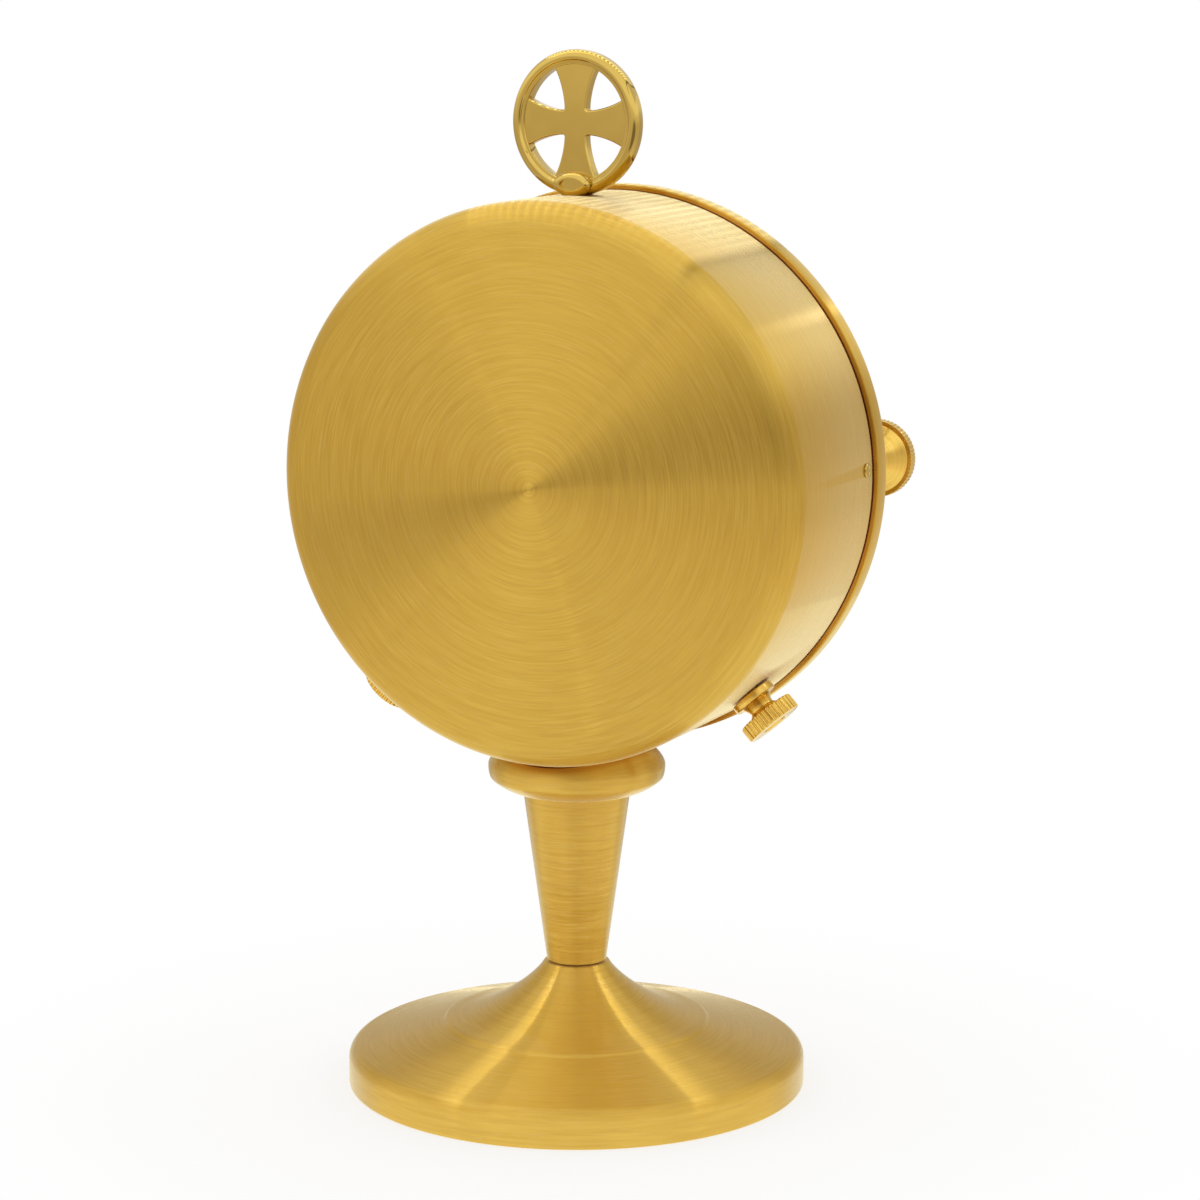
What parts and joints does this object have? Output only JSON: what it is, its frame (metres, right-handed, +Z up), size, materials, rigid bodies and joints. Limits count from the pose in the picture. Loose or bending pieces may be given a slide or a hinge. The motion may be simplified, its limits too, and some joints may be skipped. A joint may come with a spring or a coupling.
{
  "type": "luna holder",
  "caption": "Round gold case on a turned stem and spun foot, with a hinged latching door, clamping thumbscrews and a cross finial.",
  "frame": {"origin": "centre of the foot's underside, on the stem's axis", "axes": "+Z up along the stem, door facing -Y, closed back of the case facing +Y, door hinge at +X, latch knob at -X"},
  "size_m": [0.1081, 0.0848, 0.1906],
  "materials": {
    "satin_gold": "gold-plated brass, brushed round its axis to a satin sheen",
    "turned_gold": "gold-plated brass as turned, with fine tool lines and bright knurling",
    "polished_gold": "gold-plated casting, mirror polished",
    "inner_steel": "zinc-plated steel, hidden fasteners"
  },
  "bodies": {
    "case": {"foot": "satin_gold", "stem": "satin_gold", "knop": "satin_gold", "tie_bolt": "inner_steel", "saddle_washer": "turned_gold", "foot_washer": "inner_steel", "foot_nut": "inner_steel", "drum": "satin_gold", "finial": "polished_gold", "finial_nut": "turned_gold", "top_rest": "turned_gold", "catch_pin": "polished_gold", "left_screw_boss": "turned_gold", "right_screw_boss": "turned_gold", "case_hinge_leaf": "satin_gold", "hinge_pin": "turned_gold"},
    "front_door": {"door": "satin_gold", "door_hinge_leaf": "satin_gold", "latch_bush": "turned_gold"},
    "latch": {"latch_knob": "turned_gold", "latch_cam": "turned_gold", "latch_nut": "turned_gold"},
    "left_clamp": {"left_shoe": "turned_gold"},
    "right_clamp": {"right_shoe": "turned_gold"},
    "left_screw": {"left_thumbscrew": "turned_gold"},
    "right_screw": {"right_thumbscrew": "turned_gold"}
  },
  "joints": [
    {"name": "door_hinge", "type": "hinge", "parent": "case", "child": "front_door", "pos_m": [0.05344, -0.0174, 0.1139], "axis": [0, 0, 1], "range_deg": [0, 180]},
    {"name": "latch_turn", "type": "hinge", "parent": "front_door", "child": "latch", "pos_m": [-0.04616, -0.02255, 0.11583], "axis": [0, 1, 0], "range_deg": [0, 90]},
    {"name": "left_clamp_slide", "type": "slide", "parent": "case", "child": "left_clamp", "axis": [-0.6756, 0, -0.7373], "range_m": [0, 0.006]},
    {"name": "left_screw_turn", "type": "hinge", "parent": "left_clamp", "child": "left_screw", "pos_m": [-0.03432, 0, 0.07645], "axis": [-0.6756, 0, -0.7373], "range_deg": [0, 3086]},
    {"name": "right_clamp_slide", "type": "slide", "parent": "case", "child": "right_clamp", "axis": [0.6756, 0, -0.7373], "range_m": [0, 0.006]},
    {"name": "right_screw_turn", "type": "hinge", "parent": "right_clamp", "child": "right_screw", "pos_m": [0.03432, 0, 0.07645], "axis": [0.6756, 0, -0.7373], "range_deg": [0, 3086]}
  ],
  "couplings": [
    {"joint": "left_screw_turn", "follows": "left_clamp_slide", "rad_per_m": 8976},
    {"joint": "right_screw_turn", "follows": "right_clamp_slide", "rad_per_m": 8976}
  ]
}
